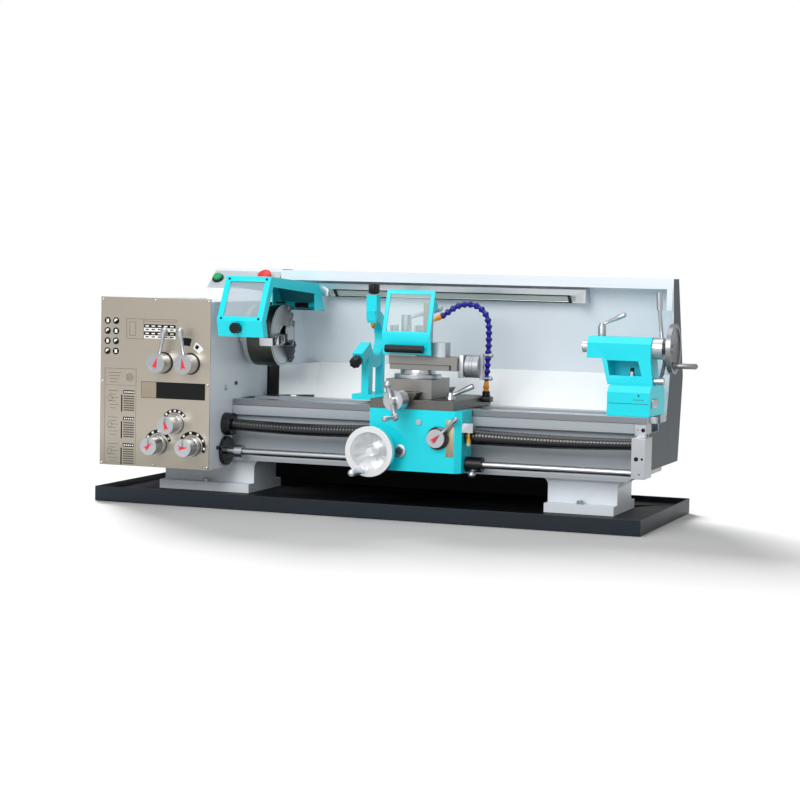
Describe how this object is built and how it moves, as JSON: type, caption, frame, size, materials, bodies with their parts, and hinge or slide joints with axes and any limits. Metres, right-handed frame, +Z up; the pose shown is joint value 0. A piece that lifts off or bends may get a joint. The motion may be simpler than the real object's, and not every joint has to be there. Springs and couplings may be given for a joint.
{
  "type": "metal lathe",
  "caption": "Bench lathe on a chip tray for turning metal, with a hinged chuck guard, a carriage with cross and top slides, a follow rest, a tailstock and a lit splash guard",
  "frame": {"origin": "middle of the chip tray's underside, under the spindle axis", "axes": "+X along the bed from the headstock to the tailstock, +Y away from the operator, +Z up"},
  "size_m": [1.522, 0.6273, 0.608],
  "materials": {
    "painted_tray": "semi-gloss slate blue-grey",
    "cast_grey": "light bluish-grey casting paint",
    "ground_steel": "ground machine steel",
    "dark_steel": "dark machined steel",
    "teal_paint": "bright teal enamel",
    "sheet_grey": "powder-coated sheet",
    "panel": "brushed champagne aluminium",
    "aluminium": "turned aluminium",
    "black_plastic": "black moulded",
    "boot_rubber": "glossy black ribbed",
    "hose_violet": "violet-blue segments",
    "clear": "clear window",
    "green": "green push button",
    "red": "red mushroom button"
  },
  "bodies": {
    "base": {"chip_tray": "painted_tray", "left_plinth": "cast_grey", "right_plinth": "cast_grey", "bed": "ground_steel", "headstock_casting": "cast_grey", "gearbox_casing": "cast_grey", "gear_cover": "cast_grey", "control_panel": "panel", "screws": "ground_steel", "control_box": "sheet_grey", "spindle_bearings": "ground_steel", "motor": "sheet_grey", "splash_guard": "sheet_grey", "work_light": "aluminium", "rod_flanges": "black_plastic", "end_bracket": "ground_steel", "leadscrew_boot_left": "boot_rubber", "leadscrew_boot_right": "boot_rubber"},
    "motor_drive": {"motor_pulley": "dark_steel"},
    "spindle_group": {"spindle": "ground_steel", "spindle_pulley": "dark_steel", "chuck_body": "ground_steel"},
    "jaw_1": {"chuck_jaw_1": "ground_steel"},
    "jaw_2": {"chuck_jaw_2": "ground_steel"},
    "jaw_3": {"chuck_jaw_3": "ground_steel"},
    "chuck_hood": {"chuck_guard": "teal_paint", "chuck_guard_window": "clear"},
    "speed_left": {"speed_lever_left": "aluminium"},
    "speed_right": {"speed_lever_right": "aluminium"},
    "feed_top": {"feed_knob_top": "aluminium"},
    "feed_left": {"feed_knob_left": "aluminium"},
    "feed_right": {"feed_knob_right": "aluminium"},
    "start": {"start_button": "green"},
    "stop": {"stop_button": "red"},
    "screw_rod": {"leadscrew": "ground_steel"},
    "feed_shaft": {"feed_rod": "ground_steel"},
    "carriage": {"saddle": "dark_steel", "apron": "teal_paint", "coolant_hose": "hose_violet", "follow_rest": "teal_paint"},
    "finger_top": {"rest_finger_top": "black_plastic"},
    "finger_front": {"rest_finger_front": "black_plastic"},
    "apron_wheel": {"apron_handwheel": "aluminium"},
    "apron_lever": {"feed_lever": "aluminium"},
    "rod_lever": {"control_lever": "black_plastic"},
    "lock_lever": {"saddle_lock_lever": "aluminium"},
    "cross": {"cross_slide": "dark_steel"},
    "cross_handle": {"cross_crank": "aluminium"},
    "swivel": {"swivel_base": "dark_steel"},
    "compound": {"top_slide": "dark_steel"},
    "compound_handle": {"compound_crank": "aluminium"},
    "post": {"tool_post": "dark_steel"},
    "post_lever": {"tool_post_lever": "aluminium"},
    "tool_shield": {"tool_guard": "teal_paint", "tool_guard_window": "clear"},
    "tailstock": {"tailstock_body": "teal_paint"},
    "tail_quill": {"quill": "ground_steel"},
    "tail_wheel": {"tailstock_handwheel": "aluminium"},
    "quill_clamp": {"quill_lock_lever": "aluminium"},
    "cam_clamp": {"tailstock_cam_lever": "aluminium"}
  },
  "joints": [
    {"name": "spindle_turn", "type": "hinge", "parent": "base", "child": "spindle_group", "pos_m": [-0.4, 0, 0.434], "axis": [1, 0, 0], "continuous": true},
    {"name": "motor_turn", "type": "hinge", "parent": "base", "child": "motor_drive", "pos_m": [-0.68, 0.185, 0.2], "axis": [1, 0, 0], "continuous": true},
    {"name": "jaw_1_slide", "type": "slide", "parent": "spindle_group", "child": "jaw_1", "axis": [0, 0.342, 0.9397], "range_m": [-0.012, 0.012]},
    {"name": "jaw_2_slide", "type": "slide", "parent": "spindle_group", "child": "jaw_2", "axis": [0, -0.9848, -0.1736], "range_m": [-0.012, 0.012]},
    {"name": "jaw_3_slide", "type": "slide", "parent": "spindle_group", "child": "jaw_3", "axis": [0, 0.6428, -0.766], "range_m": [-0.012, 0.012]},
    {"name": "chuck_guard_lift", "type": "hinge", "parent": "base", "child": "chuck_hood", "pos_m": [-0.35, 0.112, 0.5125], "axis": [-1, 0, 0], "range_deg": [0, 50]},
    {"name": "speed_left_turn", "type": "hinge", "parent": "base", "child": "speed_left", "pos_m": [-0.548, -0.24, 0.363], "axis": [0, 1, 0], "range_deg": [-60, 5]},
    {"name": "speed_right_turn", "type": "hinge", "parent": "base", "child": "speed_right", "pos_m": [-0.471, -0.24, 0.363], "axis": [0, 1, 0], "range_deg": [-5, 50]},
    {"name": "feed_top_turn", "type": "hinge", "parent": "base", "child": "feed_top", "pos_m": [-0.513, -0.24, 0.206], "axis": [0, 1, 0], "range_deg": [-90, 90]},
    {"name": "feed_left_turn", "type": "hinge", "parent": "base", "child": "feed_left", "pos_m": [-0.56, -0.24, 0.151], "axis": [0, 1, 0], "range_deg": [-90, 90]},
    {"name": "feed_right_turn", "type": "hinge", "parent": "base", "child": "feed_right", "pos_m": [-0.463, -0.24, 0.151], "axis": [0, 1, 0], "range_deg": [-90, 90]},
    {"name": "start_press", "type": "slide", "parent": "base", "child": "start", "axis": [0, 0.6362, -0.7715], "range_m": [0, 0.004], "stiffness_N_per_m": 400, "springref_m": -0.002},
    {"name": "stop_press", "type": "slide", "parent": "base", "child": "stop", "axis": [0, 0.6362, -0.7715], "range_m": [0, 0.004], "stiffness_N_per_m": 400, "springref_m": -0.002},
    {"name": "leadscrew_turn", "type": "hinge", "parent": "base", "child": "screw_rod", "pos_m": [0, -0.139, 0.206], "axis": [1, 0, 0], "continuous": true},
    {"name": "feed_rod_turn", "type": "hinge", "parent": "base", "child": "feed_shaft", "pos_m": [0, -0.139, 0.136], "axis": [1, 0, 0], "continuous": true},
    {"name": "carriage_slide", "type": "slide", "parent": "base", "child": "carriage", "axis": [1, 0, 0], "range_m": [-0.17, 0.07], "deforming": ["leadscrew_boot_left", "leadscrew_boot_right"]},
    {"name": "apron_wheel_turn", "type": "hinge", "parent": "carriage", "child": "apron_wheel", "pos_m": [0.027, -0.2, 0.164], "axis": [0, 1, 0], "range_deg": [-2450, 1010]},
    {"name": "feed_lever_turn", "type": "hinge", "parent": "carriage", "child": "apron_lever", "pos_m": [0.189, -0.2, 0.2015], "axis": [0, 1, 0], "range_deg": [-30, 30]},
    {"name": "control_lever_turn", "type": "hinge", "parent": "carriage", "child": "rod_lever", "pos_m": [0.269, -0.139, 0.136], "axis": [1, 0, 0], "range_deg": [-15, 15]},
    {"name": "saddle_lock_turn", "type": "hinge", "parent": "carriage", "child": "lock_lever", "pos_m": [0.19, -0.105, 0.3], "axis": [0, 0, 1], "range_deg": [-25, 25]},
    {"name": "rest_top_slide", "type": "slide", "parent": "carriage", "child": "finger_top", "axis": [0, 0, 1], "range_m": [-0.0015, 0.012]},
    {"name": "rest_front_slide", "type": "slide", "parent": "carriage", "child": "finger_front", "axis": [0, -0.9063, -0.4226], "range_m": [-0.0015, 0.012]},
    {"name": "cross_slide_travel", "type": "slide", "parent": "carriage", "child": "cross", "axis": [0, 1, 0], "range_m": [-0.035, 0.045]},
    {"name": "cross_crank_turn", "type": "hinge", "parent": "carriage", "child": "cross_handle", "pos_m": [0.094, -0.24, 0.2945], "axis": [0, 1, 0], "range_deg": [-3152, 4052]},
    {"name": "compound_swivel", "type": "hinge", "parent": "cross", "child": "swivel", "pos_m": [0.094, -0.082, 0.35], "axis": [0, 0, 1], "range_deg": [-30, 15]},
    {"name": "top_slide_travel", "type": "slide", "parent": "swivel", "child": "compound", "axis": [-1, 0, 0], "range_m": [-0.054, 0.005]},
    {"name": "compound_crank_turn", "type": "hinge", "parent": "compound", "child": "compound_handle", "pos_m": [0.23, -0.082, 0.3768], "axis": [-1, 0, 0], "range_deg": [-6482, 602]},
    {"name": "tool_post_turn", "type": "hinge", "parent": "compound", "child": "post", "pos_m": [0.06, -0.082, 0.42], "axis": [0, 0, 1], "continuous": true},
    {"name": "tool_post_lever_turn", "type": "hinge", "parent": "compound", "child": "post_lever", "pos_m": [0.06, -0.082, 0.48], "axis": [0, 0, 1], "range_deg": [0, 120]},
    {"name": "tool_guard_lift", "type": "hinge", "parent": "compound", "child": "tool_shield", "pos_m": [0.14, -0.107, 0.5253], "axis": [-1, 0, 0], "range_deg": [0, 70]},
    {"name": "tailstock_slide", "type": "slide", "parent": "base", "child": "tailstock", "axis": [1, 0, 0], "range_m": [-0.12, 0]},
    {"name": "quill_travel", "type": "slide", "parent": "tailstock", "child": "tail_quill", "axis": [-1, 0, 0], "range_m": [0, 0.08]},
    {"name": "tailstock_wheel_turn", "type": "hinge", "parent": "tailstock", "child": "tail_wheel", "pos_m": [0.72, 0, 0.434], "axis": [-1, 0, 0], "range_deg": [-2, 7202]},
    {"name": "quill_clamp_turn", "type": "hinge", "parent": "tailstock", "child": "quill_clamp", "pos_m": [0.549, 0, 0.47], "axis": [0, 0, 1], "range_deg": [-40, 40]},
    {"name": "cam_clamp_turn", "type": "hinge", "parent": "tailstock", "child": "cam_clamp", "pos_m": [0.69, -0.018, 0.354], "axis": [1, 0, 0], "range_deg": [-20, 4]}
  ],
  "couplings": [
    {"joint": "motor_turn", "follows": "spindle_turn", "ratio": 1.7143},
    {"joint": "jaw_2_slide", "follows": "jaw_1_slide", "ratio": 1},
    {"joint": "jaw_3_slide", "follows": "jaw_1_slide", "ratio": 1},
    {"joint": "apron_wheel_turn", "follows": "carriage_slide", "rad_per_m": 251.33},
    {"joint": "cross_crank_turn", "follows": "cross_slide_travel", "rad_per_m": 1570.8},
    {"joint": "compound_crank_turn", "follows": "top_slide_travel", "rad_per_m": 2094.4},
    {"joint": "tailstock_wheel_turn", "follows": "quill_travel", "rad_per_m": 1570.8}
  ]
}
